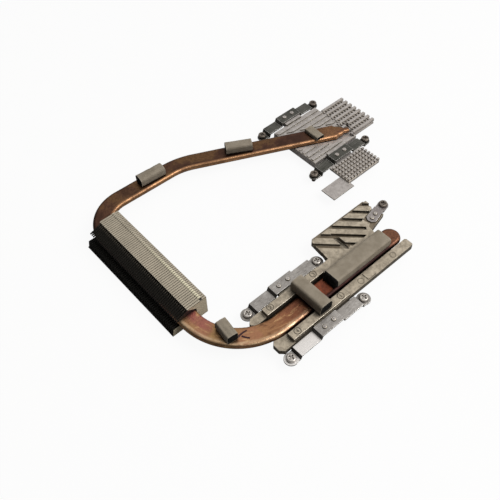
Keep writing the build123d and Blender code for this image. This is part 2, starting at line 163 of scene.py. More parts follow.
def node_group(name, inputs, outputs):
    """An empty effect with named inputs and outputs."""
    tree = bpy.data.node_groups.new(name, "ShaderNodeTree")
    for label, kind, value in inputs:
        socket = tree.interface.new_socket(label, in_out="INPUT", socket_type=kind)
        socket.default_value = value
    for label, kind in outputs:
        tree.interface.new_socket(label, in_out="OUTPUT", socket_type=kind)
    return tree, tree.nodes.new("NodeGroupInput"), tree.nodes.new("NodeGroupOutput")


def add(tree, kind, **values):
    """A node with its plain settings and unlinked inputs set."""
    made = tree.nodes.new(kind)
    for key, value in values.items():
        if hasattr(made, key):
            setattr(made, key, value)
        else:
            made.inputs[key.replace("_", " ")].default_value = value
    return made


def maths(tree, operation, a, b=0.0):
    """One sum of two values."""
    made = tree.nodes.new("ShaderNodeMath")
    made.operation = operation
    for socket, value in zip(made.inputs, (a, b)):
        if isinstance(value, (int, float)):
            socket.default_value = value
        else:
            tree.links.new(value, socket)
    return made.outputs[0]


def times(tree, first, *others):
    """Multiplies masks."""
    for other in others:
        first = maths(tree, "MULTIPLY", first, other)
    return first


def blend(tree, factor, a, b):
    """Mixes two colours by a factor."""
    made = tree.nodes.new("ShaderNodeMix")
    made.data_type = "RGBA"
    for socket, value in ((made.inputs[0], factor), (made.inputs[6], a), (made.inputs[7], b)):
        if isinstance(value, (int, float)):
            socket.default_value = value
        elif isinstance(value, tuple):
            socket.default_value = (*value, 1)
        else:
            tree.links.new(value, socket)
    return made.outputs[2]


def span(tree, value, low, high, to_low=0.0, to_high=1.0):
    """Moves a value smoothly from one range to another."""
    made = tree.nodes.new("ShaderNodeMapRange")
    made.interpolation_type = "SMOOTHSTEP"
    tree.links.new(value, made.inputs[0])
    for socket, number in zip(made.inputs[1:5], (low, high, to_low, to_high)):
        socket.default_value = number
    return made.outputs[0]


def tint(r, g, b):
    """A colour as seen, in 0 to 255, as the light it stands for."""
    seen = [c / 255 for c in (r, g, b)]
    return tuple(c / 12.92 if c <= 0.04045 else ((c + 0.055) / 1.055) ** 2.4 for c in seen)


def make_grain():
    """Fine and coarse mottling of a metal skin."""
    tree, ins, outs = node_group(
        "metal_grain",
        [("Fine", "NodeSocketFloat", 3000.0), ("Coarse", "NodeSocketFloat", 250.0),
         ("Stretch", "NodeSocketVector", (1.0, 1.0, 1.0))],
        [("Fine", "NodeSocketFloat"), ("Coarse", "NodeSocketFloat"), ("Height", "NodeSocketFloat")])
    where = add(tree, "ShaderNodeTexCoord")
    stretched = add(tree, "ShaderNodeVectorMath", operation="MULTIPLY")
    tree.links.new(where.outputs["Object"], stretched.inputs[0])
    tree.links.new(ins.outputs["Stretch"], stretched.inputs[1])
    fine = add(tree, "ShaderNodeTexNoise", Detail=4.0, Roughness=0.6)
    coarse = add(tree, "ShaderNodeTexNoise", Detail=3.0, Roughness=0.55)
    tree.links.new(stretched.outputs[0], fine.inputs["Vector"])
    tree.links.new(where.outputs["Object"], coarse.inputs["Vector"])
    tree.links.new(ins.outputs["Fine"], fine.inputs["Scale"])
    tree.links.new(ins.outputs["Coarse"], coarse.inputs["Scale"])
    tree.links.new(span(tree, fine.outputs[0], 0.3, 0.7), outs.inputs["Fine"])
    tree.links.new(span(tree, coarse.outputs[0], 0.3, 0.7), outs.inputs["Coarse"])
    tree.links.new(maths(tree, "ADD", fine.outputs[0], coarse.outputs[0]), outs.inputs["Height"])
    return tree


def make_dust_and_shade():
    """Darkening in corners and recesses by occlusion, dust with painted shade, and bright metal where
    edges rub.
    """
    tree, ins, outs = node_group(
        "corner_dust_and_shade",
        [("Reach", "NodeSocketFloat", 0.002), ("Spread", "NodeSocketFloat", 0.85)],
        [("DustAndShade", "NodeSocketFloat"), ("Rubbed", "NodeSocketFloat")])
    shade = add(tree, "ShaderNodeAmbientOcclusion", samples=8)
    tree.links.new(ins.outputs["Reach"], shade.inputs["Distance"])
    open_share = maths(tree, "DIVIDE", shade.outputs["AO"], ins.outputs["Spread"])
    tree.links.new(span(tree, open_share, 0.3, 1.0, 1.0, 0.0), outs.inputs["DustAndShade"])
    shape = add(tree, "ShaderNodeNewGeometry")
    tree.links.new(span(tree, shape.outputs["Pointiness"], 0.52, 0.6), outs.inputs["Rubbed"])
    return tree


def make_place_zone():
    """Mask that grows along one direction over a stretch of the part, for a tone by place; the fins use
    it for painted shade and the tongues for a painted highlight.
    """
    tree, ins, outs = node_group(
        "place_zone",
        [("Along", "NodeSocketVector", (1.0, 0.0, 0.0)),
         ("Low", "NodeSocketFloat", 0.0), ("High", "NodeSocketFloat", 0.01)],
        [("InZone", "NodeSocketFloat")])
    where = add(tree, "ShaderNodeTexCoord")
    place = add(tree, "ShaderNodeVectorMath", operation="DOT_PRODUCT")
    tree.links.new(where.outputs["Object"], place.inputs[0])
    tree.links.new(ins.outputs["Along"], place.inputs[1])
    share = add(tree, "ShaderNodeMapRange", interpolation_type="SMOOTHSTEP")
    for i, socket in enumerate((place.outputs["Value"], ins.outputs["Low"], ins.outputs["High"])):
        tree.links.new(socket, share.inputs[i])
    tree.links.new(share.outputs[0], outs.inputs["InZone"])
    return tree


grain = make_grain()
dust_and_shade = make_dust_and_shade()
place_zone = make_place_zone()


def use(tree, group, **values):
    """Places an effect in a material, with values of its own."""
    made = tree.nodes.new("ShaderNodeGroup")
    made.node_tree = group
    for key, value in values.items():
        made.inputs[key].default_value = value
    return made


def finish_for(name, metallic, specular=0.5):
    """A new material, its tree and its surface shader."""
    made = bpy.data.materials.new(name)
    made.use_nodes = True
    tree = made.node_tree
    surface = tree.nodes["Principled BSDF"]
    surface.inputs["Metallic"].default_value = metallic
    surface.inputs["Specular IOR Level"].default_value = specular
    return made, tree, surface


def bump(tree, surface, height, depth, strength=1.0):
    """Lets a height shade the surface."""
    made = add(tree, "ShaderNodeBump", Strength=strength, Distance=depth)
    tree.links.new(height, made.inputs["Height"])
    tree.links.new(made.outputs[0], surface.inputs["Normal"])


# Bump depths in metres: coarse casting, fine casting, metal skin and rolled sheet
COARSE_CAST = 0.00008
FINE_CAST = 0.00006
PLAIN_METAL = 0.00004
ROLLED = 0.00001


def metal_skin(name, pale, dark, rubbed, rough, metallic, fine=3000.0, coarse=180.0,
               stretch=(1, 1, 1), depth=PLAIN_METAL, dust_shade_reach=0.003, dust_shade_share=0.7,
               spread=0.85, dust_shade_tone=0.12, zone_tone=None):
    """A metal skin with rubbed edges: mottled tone, dust and painted shade in the corners, and a tone by
    place where one is given.
    """
    made, tree, surface = finish_for(name, metallic)
    speckle = use(tree, grain, Fine=fine, Coarse=coarse, Stretch=stretch)
    corners = use(tree, dust_and_shade, Reach=dust_shade_reach, Spread=spread)
    tone = blend(tree, speckle.outputs["Coarse"], dark, pale)
    tone = blend(tree, span(tree, speckle.outputs["Fine"], 0.5, 1.0, 0.0, 0.4), tone, rubbed)
    if zone_tone:
        along, low, high, zone_colour = zone_tone
        zone = use(tree, place_zone, Along=along, Low=low, High=high)
        tone = blend(tree, zone.outputs["InZone"], tone, zone_colour)
    # Corners and recesses darken by occlusion: dust with painted shade.
    dust_shade = times(tree, corners.outputs["DustAndShade"], dust_shade_share)
    tone = blend(tree, dust_shade, tone, tuple(c * dust_shade_tone for c in dark))
    tree.links.new(tone, surface.inputs["Base Color"])
    gloss = span(tree, speckle.outputs["Fine"], 0, 1, rough - 0.08, rough + 0.1)
    gloss = maths(tree, "ADD", gloss, times(tree, dust_shade, 0.25))
    tree.links.new(gloss, surface.inputs["Roughness"])
    bump(tree, surface, speckle.outputs["Height"], depth)
    return made


block_cast = metal_skin(
    "block_cast", tint(206, 193, 172), tint(160, 148, 130), tint(226, 217, 200),
    0.4, 0.5, fine=2400, coarse=430, depth=COARSE_CAST, dust_shade_reach=0.006, dust_shade_share=0.9,
    spread=1.0, dust_shade_tone=0.2)
plate_cast = metal_skin(
    "plate_cast", tint(202, 196, 192), tint(174, 167, 163), tint(224, 220, 217),
    0.4, 0.5, fine=2400, coarse=420, depth=FINE_CAST, dust_shade_reach=0.0010, dust_shade_share=0.75,
    spread=1.0, dust_shade_tone=0.3)
# Darker sides of the plate's ribs and edges of its tab: painted shade.
shaded_rib_side = metal_skin(
    "shaded_rib_side", tint(112, 108, 104), tint(88, 84, 80), tint(140, 136, 132),
    0.5, 0.3, fine=2400, coarse=420, depth=FINE_CAST, dust_shade_reach=0.0010, dust_shade_share=0.6)
# Darker floors of the wing's grooves: painted shade.
groove_shade_cast = metal_skin(
    "groove_shade_cast", tint(138, 124, 104), tint(108, 95, 78), tint(164, 150, 130),
    0.45, 0.3, fine=2400, coarse=430, depth=COARSE_CAST, dust_shade_reach=0.0012, dust_shade_share=0.45,
    dust_shade_tone=0.3)
# Darker upright walls of the block, on the sides that face -X or -Y: painted shade.
shaded_block_wall = metal_skin(
    "shaded_block_wall", tint(116, 106, 91), tint(86, 78, 66), tint(146, 136, 119),
    0.5, 0.3, fine=2400, coarse=430, depth=COARSE_CAST, dust_shade_share=0.8)
# Darker steps and edges of the processor arms: painted shade.
shaded_step_steel = metal_skin(
    "shaded_step_steel", tint(88, 85, 82), tint(62, 60, 58), tint(112, 109, 106),
    0.45, 0.4, fine=1600, coarse=120, depth=ROLLED)
cast_edge = metal_skin(
    "cast_edge", tint(206, 197, 182), tint(176, 166, 150), tint(226, 220, 208),
    0.3, 0.85, fine=2600, coarse=160, dust_shade_reach=0.003, dust_shade_share=0.6)
mark_cast = metal_skin(
    "mark_cast", tint(118, 109, 95), tint(92, 84, 72), tint(150, 141, 126),
    0.5, 0.3, fine=2600, coarse=160)
arm_steel = metal_skin(
    "arm_steel", tint(182, 177, 172), tint(158, 153, 148), tint(218, 215, 211),
    0.34, 0.7, fine=1600, coarse=120, stretch=(0.3, 1, 1), depth=ROLLED)
# The front arm is paler towards -X, from x = -8 mm on.
bright_arm_steel = metal_skin(
    "bright_arm_steel", tint(182, 177, 172), tint(158, 153, 148), tint(218, 215, 211),
    0.34, 0.6, fine=1600, coarse=120, stretch=(0.3, 1, 1), depth=ROLLED,
    zone_tone=((1, 0, 0), -0.0080, -0.0105, tint(250, 246, 243)))
chip_steel = metal_skin(
    "chip_steel", tint(168, 161, 158), tint(146, 138, 136), tint(205, 200, 198),
    0.36, 0.6, fine=2200, coarse=90, stretch=(0.3, 1, 1), depth=ROLLED)
dark_arm_steel = metal_skin(
    "dark_arm_steel", tint(98, 97, 91), tint(70, 70, 64), tint(150, 147, 142),
    0.4, 0.6, fine=2200, coarse=90, stretch=(0.06, 1, 1), depth=ROLLED)
arm_edge = metal_skin(
    "arm_edge", tint(226, 223, 219), tint(190, 186, 181), tint(238, 236, 233),
    0.26, 0.9, fine=2200, coarse=160, depth=ROLLED)
screw_steel = metal_skin(
    "screw_steel", tint(222, 216, 209), tint(184, 177, 170), tint(236, 232, 227),
    0.22, 0.85, fine=3500, coarse=300, depth=ROLLED, dust_shade_reach=0.0012, dust_shade_share=0.8)
dull_screw_steel = metal_skin(
    "dull_screw_steel", tint(142, 132, 122), tint(104, 95, 86), tint(176, 167, 157),
    0.34, 0.75, fine=3500, coarse=300, depth=ROLLED, dust_shade_reach=0.0012, dust_shade_share=0.85)
# Past x = -51.4 mm, on the -X side of the stack, the fin sheet is painted near black: painted shade
# between the fins.
fin_sheet = metal_skin(
    "fin_sheet", tint(194, 183, 163), tint(174, 164, 146), tint(210, 200, 181),
    0.5, 0.25, fine=2000, coarse=60, depth=ROLLED, dust_shade_reach=0.003, dust_shade_share=0.97,
    zone_tone=((1, 0, 0), -0.0514, -0.0530, tint(14, 15, 16)))
# Near black for the fins' edges and folds: painted shade.
fin_shade_edge = metal_skin(
    "fin_shade_edge", tint(16, 17, 18), tint(9, 10, 11), tint(28, 29, 30),
    0.6, 0.1, fine=2000, coarse=120, depth=ROLLED, dust_shade_reach=0.0016, dust_shade_share=0.9)
# The first fin's outer face, kept out of the fins' painted shade and paler than the fin sheet: painted
# light where it faces the lamp.
lit_end_sheet = metal_skin(
    "lit_end_sheet", tint(224, 212, 184), tint(206, 195, 168), tint(230, 220, 196),
    0.45, 0.1, fine=2000, coarse=120, depth=ROLLED, dust_shade_reach=0.001, dust_shade_share=0.5)
# The tongues are paler than the fin sheet and paler still towards the near end: painted highlight.
tongue_highlight_sheet = metal_skin(
    "tongue_highlight_sheet", tint(212, 202, 182), tint(190, 180, 160), tint(214, 206, 186),
    0.32, 0.15, fine=2000, coarse=60, depth=ROLLED, dust_shade_reach=0.0006, dust_shade_share=0.4,
    zone_tone=((0, 1, 0), 0.104, 0.05, tint(252, 244, 214)))


def copper_finish():
    """Copper that is bright at the near bend and browned towards the graphics end, with painted
    highlights and painted shade on its sides and corners.
    """
    made, tree, surface = finish_for("pipe_copper", 0.85)
    along, run, across = (add(tree, "ShaderNodeAttribute", attribute_name=name).outputs["Fac"]
                          for name in ("along", "run", "across"))
    clouds = use(tree, grain, Fine=700.0, Coarse=60.0, Stretch=(1, 1, 1)).outputs
    lane = add(tree, "ShaderNodeCombineXYZ")
    tree.links.new(times(tree, run, 0.09), lane.inputs[0])
    tree.links.new(times(tree, across, 1.7), lane.inputs[1])
    drawn = add(tree, "ShaderNodeTexNoise", Scale=1.5, Detail=6.0, Roughness=0.66, Distortion=0.8)
    tree.links.new(lane.outputs[0], drawn.inputs["Vector"])
    streak = drawn.outputs[0]
    drift = times(tree, maths(tree, "SUBTRACT", clouds["Coarse"], 0.5), 0.03)
    reach = maths(tree, "ADD", along, drift)
    ramp = add(tree, "ShaderNodeValToRGB")
    stops = [
        (0.00, tint(134, 92, 70)), (0.03, tint(124, 78, 60)), (0.095, tint(104, 54, 42)),
        (0.112, tint(172, 98, 68)), (0.128, tint(150, 82, 58)), (0.145, tint(100, 56, 43)),
        (0.165, tint(122, 74, 54)), (0.185, tint(158, 104, 76)), (0.24, tint(186, 138, 98)),
        (0.30, tint(186, 146, 100)), (0.335, tint(188, 142, 100)), (0.365, tint(160, 104, 84)),
        (0.39, tint(60, 40, 36)), (0.51, tint(84, 56, 46)), (0.55, tint(104, 70, 56)),
        (0.61, tint(116, 84, 62)), (0.67, tint(104, 74, 56)), (0.76, tint(96, 66, 50)),
        (0.93, tint(92, 62, 50)), (0.965, tint(150, 108, 76)), (1.00, tint(118, 78, 58)),
    ]
    ramp.color_ramp.elements.remove(ramp.color_ramp.elements[0])
    for i, (spot, colour) in enumerate(stops):
        stop = ramp.color_ramp.elements[0] if i == 0 else ramp.color_ramp.elements.new(spot)
        stop.position = spot
        stop.color = (*colour, 1)
    tree.links.new(reach, ramp.inputs[0])
    early = times(tree, span(tree, along, 0.40, 0.36), span(tree, along, 0.15, 0.21))
    late = span(tree, along, 0.50, 0.53)
    brown = span(tree, streak, 0.50, 0.72, 0.0, 0.5)
    blush = times(tree, span(tree, clouds["Coarse"], 0.5, 1.0, 0.0, 0.35), early)
    pink = times(tree, span(tree, reach, 0.305, 0.35, 0.0, 0.75),
                 span(tree, across, -0.45, 0.25, 0.1, 1.0), early)
    # Pale gold streaks over the near bend: painted highlight.
    painted_glint = times(tree, span(tree, streak, 0.47, 0.33, 0.0, 0.6), early)
    olive = times(tree, span(tree, clouds["Coarse"], 0.55, 0.25, 0.0, 0.5), late)
    stain = times(tree, span(tree, clouds["Coarse"], 0.5, 0.8, 0.0, 0.5), late)
    flecks = times(tree, span(tree, clouds["Fine"], 0.25, 0.95, 0.0, 0.4),
                   span(tree, early, 0.0, 1.0, 1.0, 0.3))
    # The inner rounded side of the pipe from the far bend on is paler: cleaner copper with painted
    # highlight.
    inner_clean_and_sheen = times(tree, span(tree, across, 0.62, 0.86), late,
                       span(tree, along, 0.52, 0.80, 0.35, 0.85),
                       span(tree, streak, 0.62, 0.40, 0.55, 1.0))
    # A pale band along the outer side of the near bend: painted highlight.
    outer_highlight = times(tree, span(tree, across, -0.42, -0.66), early,
                    span(tree, across, -0.96, -0.84), span(tree, streak, 0.58, 0.42, 0.3, 0.75))
    # Both rounded sides of the pipe at the near bend are darker: painted shade.
    edges = times(tree, span(tree, maths(tree, "ABSOLUTE", across), 0.88, 0.99, 0.0, 0.6), early)
    # Near black along the -Y side of the processor run, beside the tail bar: painted shade.
    shaded_strip = times(tree, span(tree, across, -0.5, -0.75, 0.0, 0.95),
                    span(tree, along, 0.19, 0.14), span(tree, along, 0.0, 0.02))
    # Darkening in corners by occlusion: dust with painted shade.
    dust_shade = times(tree, use(tree, dust_and_shade, Reach=0.003).outputs["DustAndShade"], 0.85)
    tone = ramp.outputs[0]
    for mask, colour in ((brown, (84, 50, 40)), (blush, (190, 118, 108)), (pink, (182, 98, 104)),
                         (painted_glint, (244, 200, 144)), (olive, (136, 102, 64)), (stain, (58, 36, 27)),
                         (flecks, (62, 42, 34)), (inner_clean_and_sheen, (206, 156, 114)),
                         (outer_highlight, (240, 208, 170)), (edges, (72, 44, 34)),
                         (shaded_strip, (30, 15, 15)), (dust_shade, (26, 13, 11))):
        tone = blend(tree, mask, tone, tint(*colour))
    tree.links.new(tone, surface.inputs["Base Color"])
    tree.links.new(span(tree, streak, 0.3, 0.7, 0.26, 0.4), surface.inputs["Roughness"])
    bump(tree, surface, maths(tree, "ADD", clouds["Height"], streak), 0.00025, 0.5)
    return made


pipe_copper = copper_finish()
plate_copper = metal_skin(
    "plate_copper", tint(190, 122, 90), tint(150, 92, 66), tint(215, 150, 118),
    0.3, 0.9, fine=1800, coarse=120, stretch=(0.08, 1, 1), depth=ROLLED)


def fabric_finish():
    """Plain weave of metallised yarn, slightly rubbed at its folds, with painted shade on its sides that
    face -X.
    """
    made, tree, surface = finish_for("gasket_fabric", 0.1, 0.35)
    where = add(tree, "ShaderNodeTexCoord")
    threads = []
    for direction, turn in (("X", 0.6), ("Y", -0.6)):
        laid = add(tree, "ShaderNodeMapping")
        laid.inputs["Rotation"].default_value = (0.35, 0.2, turn)
        tree.links.new(where.outputs["Object"], laid.inputs["Vector"])
        wave = add(tree, "ShaderNodeTexWave", bands_direction=direction, Scale=1150.0, Distortion=0.6)
        tree.links.new(laid.outputs[0], wave.inputs["Vector"])
        threads.append(wave.outputs["Fac"])
    weave = maths(tree, "MAXIMUM", *threads)
    speckle = use(tree, grain, Fine=1500.0, Coarse=210.0, Stretch=(1, 1, 1))
    corners = use(tree, dust_and_shade, Reach=0.0015)
    tone = blend(tree, speckle.outputs["Coarse"], tint(150, 139, 122), tint(168, 157, 140))
    tone = blend(tree, span(tree, weave, 0.2, 0.9, 0.3, 0.0), tone, tint(104, 95, 82))
    tone = blend(tree, corners.outputs["Rubbed"], tone, tint(172, 162, 146))
    # Darkening in corners by occlusion: dust with painted shade.
    tone = blend(tree, times(tree, corners.outputs["DustAndShade"], 0.5), tone, tint(40, 36, 31))
    # Sides that face -X are darker: painted shade.
    facing = add(tree, "ShaderNodeNewGeometry")
    sides = add(tree, "ShaderNodeSeparateXYZ")
    tree.links.new(facing.outputs["Normal"], sides.inputs[0])
    tone = blend(tree, span(tree, sides.outputs["X"], -0.35, -0.85, 0.0, 0.5), tone, tint(62, 55, 46))
    tree.links.new(tone, surface.inputs["Base Color"])
    tree.links.new(span(tree, weave, 0, 1, 0.72, 0.55), surface.inputs["Roughness"])
    bump(tree, surface, weave, 0.00006, 0.7)
    surface.inputs["Sheen Weight"].default_value = 0.1
    return made


def foam_finish():
    """Black open-cell foam."""
    made, tree, surface = finish_for("gasket_foam", 0.0, 0.2)
    where = add(tree, "ShaderNodeTexCoord")
    cells = add(tree, "ShaderNodeTexVoronoi", Scale=2400.0)
    tree.links.new(where.outputs["Object"], cells.inputs["Vector"])
    speckle = use(tree, grain, Fine=2600.0, Coarse=400.0, Stretch=(1, 1, 1))
    tone = blend(tree, speckle.outputs["Fine"], tint(14, 14, 14), tint(34, 33, 32))
    tree.links.new(tone, surface.inputs["Base Color"])
    tree.links.new(span(tree, cells.outputs["Distance"], 0, 0.6, 0.85, 1.0), surface.inputs["Roughness"])
    bump(tree, surface, cells.outputs["Distance"], 0.0002, 1.0)
    return made


gasket_fabric = fabric_finish()
gasket_foam = foam_finish()


# Heat pipe

PIPE_WIDTH, PIPE_THICK, PIPE_Z = 11.854, 4.0, 4.0
PIPE_START = Vector((66.6, 0.0))
# Straight length, or radius and turn of a bend, of each run from the processor end on
PIPE_RUNS = [(83.6, 0, 0), (0, 34.2, 90.0), (73.368, 0, 0), (0, 21.2, 91.8),
             (34.8, 0, 0), (0, 42.5, 24.4), (93.4, 0, 0)]
RUN_STEP, BEND_STEP, END_STEPS = 1.4, 0.55, 18
NIPPLE_WIDTH, NIPPLE_THICK = 3.8, 2.6
PINCH_RUN, PINCH_STEPS = 6.5, 14
# Distance from the pipe's end and share of the full size, for the rings of the nipple
NIPPLE_RINGS = ((7.6, 1), (9.2, 1), (9.8, 0.93), (10.1, 0.75), (10.2, 0.4))
DENT, DENT_SPREAD = 0.09, 2.4
# Stretch of the far bend along the pipe, and how much the inside wrinkles there and elsewhere
FAR_BEND = (200, 260)
FAR_WRINKLE, LIGHT_WRINKLE = 0.9, 0.25


def pipe_stations():
    """Place, heading, distance and bend of each section from the processor end on."""
    at, heading, gone = PIPE_START, math.pi, 0.0
    stations = [(at, heading, gone, 0.0)]
    for length, radius, turn in PIPE_RUNS:
        arc = radius * math.radians(turn)
        steps = math.ceil((length or arc) / (RUN_STEP if length else BEND_STEP))
        for i in range(steps):
            part = (length or arc) / steps
            bent = part / radius if radius else 0.0
            chord = 2 * radius * math.sin(bent / 2) if radius else part
            heading -= bent / 2
            at = at + chord * Vector((math.cos(heading), math.sin(heading)))
            heading -= bent / 2
            gone += part
            share = (i + 1) / steps
            stations.append((at, heading, gone, math.sin(math.pi * share) if radius else 0.0))
    return stations


def half_section(width, thick, flat=9, round_steps=9):
    """Half of the flattened section, from the top middle over the side to the bottom middle."""
    reach = width / 2 - thick / 2
    points = [(reach * i / flat, thick / 2) for i in range(flat)]
    for i in range(round_steps + 1):
        a = math.pi / 2 - math.pi * i / round_steps
        points.append((reach + thick / 2 * math.cos(a), thick / 2 * math.sin(a)))
    points += [(reach * i / flat, -thick / 2) for i in reversed(range(flat))]
    return points


def full_section(width, thick):
    """The whole section, going round once from the top middle by the right side."""
    right = half_section(width, thick)
    return right + [(-y, z) for y, z in reversed(right[1:-1])]


def dented(y, z, width, below):
    """Height of a point of the section, with the dent along the middle of its flat sides."""
    dent = DENT * max(0.0, 1 - (DENT_SPREAD * y / width) ** 2) * (1 if z > 0 else below)
    return z - math.copysign(dent, z) * min(1, abs(z))


def pipe_ring(at, heading, gone, width, thick, bend):
    """One section of the pipe in its place, wrinkled inside the bends."""
    right = Vector((math.sin(heading), -math.cos(heading)))
    wrinkle = FAR_WRINKLE if FAR_BEND[0] < gone < FAR_BEND[1] else LIGHT_WRINKLE
    points = []
    for y, z in full_section(width, thick):
        inner = max(0.0, y / (width / 2))
        ripple = wrinkle * math.sin(gone * 2.5 + 0.8 * math.sin(gone * 0.7)) * bend * inner ** 2
        wobble = 0.05 * noise.noise(Vector((gone * 0.16, y * 0.3, z)))
        height = dented(y, z, width, 0.5) + (0.13 * ripple + wobble) * (z > 0.5)
        place = at + right * (y - 0.22 * ripple - 0.12 * bend * inner)
        points.append((place.x, place.y, PIPE_Z + height))
    return points


def build_pipe():
    """The flattened pipe with its pinched nipple and its round end."""
    bm = bmesh.new()
    layers = [bm.verts.layers.float.new(name) for name in ("along", "run", "across")]
    sections = [(at, heading, gone, PIPE_WIDTH, PIPE_THICK, bend)
                for at, heading, gone, bend in pipe_stations()]
    tip, heading, gone = sections[-1][:3]
    ahead = Vector((math.cos(heading), math.sin(heading)))
    for i in range(1, PINCH_STEPS + 1):
        share = i / PINCH_STEPS
        pinch = share + 0.10 * math.sin(2 * math.pi * share)
        width = PIPE_WIDTH + (NIPPLE_WIDTH - PIPE_WIDTH) * pinch
        thick = PIPE_THICK + (NIPPLE_THICK - PIPE_THICK) * pinch
        run = PINCH_RUN * share
        sections.append((tip + ahead * run, heading, gone + run, width, thick, 0))
    for run, shrink in NIPPLE_RINGS:
        sections.append((tip + ahead * run, heading, gone + run,
                         NIPPLE_WIDTH * shrink, NIPPLE_THICK * shrink, 0))
    rows = skin(bm, [pipe_ring(*section) for section in sections])
    bm.faces.new(rows[-1])
    total = sections[-1][2]
    reach = [y / (PIPE_WIDTH / 2) for y, z in full_section(PIPE_WIDTH, PIPE_THICK)]
    for row, section in zip(rows, sections):
        spot = section[2]
        for vertex, side in zip(row, reach):
            for layer, value in zip(layers, (spot / total, spot, side)):
                vertex[layer] = value
    ends = []
    for i in range(END_STEPS + 1):
        a = math.pi / 2 - math.pi * i / END_STEPS
        ends.append([(PIPE_START.x + y * math.cos(a), PIPE_START.y + y * math.sin(a),
                      PIPE_Z + dented(y, z, PIPE_WIDTH, 1))
                     for y, z in half_section(PIPE_WIDTH, PIPE_THICK)])
    for row in skin(bm, ends, closed_ring=False):
        for vertex in row:
            out = Vector(vertex.co[:2]) - PIPE_START
            for layer, value in zip(layers, (0.0, -out.x, out.y / (PIPE_WIDTH / 2))):
                vertex[layer] = value
    bmesh.ops.remove_doubles(bm, verts=bm.verts, dist=0.02)
    piece("heat_pipe_copper", bm, pipe_copper, ["heat_pipe"])


build_pipe()


# Fin stack

FIN_X = {"foot": -61.6, "shelf": -60.5, "brow": -58.327, "top": -50.5, "slot": -42.373, "back": -37.95}
FIN_LOW, FIN_TOP, FIN_NEAR, FIN_PITCH = -3.9, 10.3, 35.8, 1.424
PIPE_TOP, FIN_GAP = PIPE_Z + PIPE_THICK / 2, 0.1
SLOT_LOW, SLOT_HIGH = PIPE_TOP - PIPE_THICK - FIN_GAP, PIPE_TOP + FIN_GAP
BROW_TOP, SHEET = 7.0, 0.22
FOLD_R, FOOT_R, LAP, FOOT_LAP = 0.5, 0.24, 1.22, 1.42
FIN_COUNT, SHORT_SLOTS, SHORT_BY = 57, 47, 2.5
STRIP_IN, STRIP_WIDE, STRIP_RISE = 2.2, 2.0, 0.28
# Places in the list of finishes of the fin stack; the shade faces are painted near black
SHEET_FACE, TONGUE_FACE, SHADE_FACE, END_FACE = range(4)


def fold_section(up, lap, round_r):
    """The bent edge of a fin, over to its neighbour, as (across the stack, height below the edge)."""
    outer, inner = [], []
    for i in range(6):
        a = math.pi / 2 * i / 5
        outer.append((round_r - round_r * math.cos(a), -round_r + round_r * math.sin(a)))
        r = round_r - SHEET
        inner.append((round_r - r * math.cos(a), -round_r + r * math.sin(a)))
    outline = outer + [(lap - 0.12, 0.0), (lap, -0.12), (lap, -SHEET)] + inner[::-1]
    return [(y, up * z) for y, z in outline]


def slab(bm, outline, y0, y1, tag=SHEET_FACE, dark=()):
    """A flat plate of the given XZ outline, with some of its edges painted dark as shade."""
    front = [bm.verts.new((x, y0, z)) for x, z in outline]
    back = [bm.verts.new((x, y1, z)) for x, z in outline]
    made = [bm.faces.new(front), bm.faces.new(back[::-1])]
    for i in range(len(outline)):
        j = (i + 1) % len(outline)
        made.append(bm.faces.new((front[j], front[i], back[i], back[j])))
    for face in made:
        face.material_index = tag
    for i in dark:
        made[2 + i].material_index = SHADE_FACE
    return made[0]


def bar_of(bm, section, x0, x1):
    """A strip of the given YZ section from x0 to x1, painted dark as shade at its first end and two of
    its sides.
    """
    ends = [[bm.verts.new((x, y, z)) for y, z in section] for x in (x0, x1)]
    made = [bm.faces.new(ends[0]), bm.faces.new(ends[1][::-1])]
    for i in range(len(section)):
        j = (i + 1) % len(section)
        made.append(bm.faces.new((ends[0][j], ends[0][i], ends[1][i], ends[1][j])))
    for i in (0, 2, 3):
        made[i].material_index = SHADE_FACE


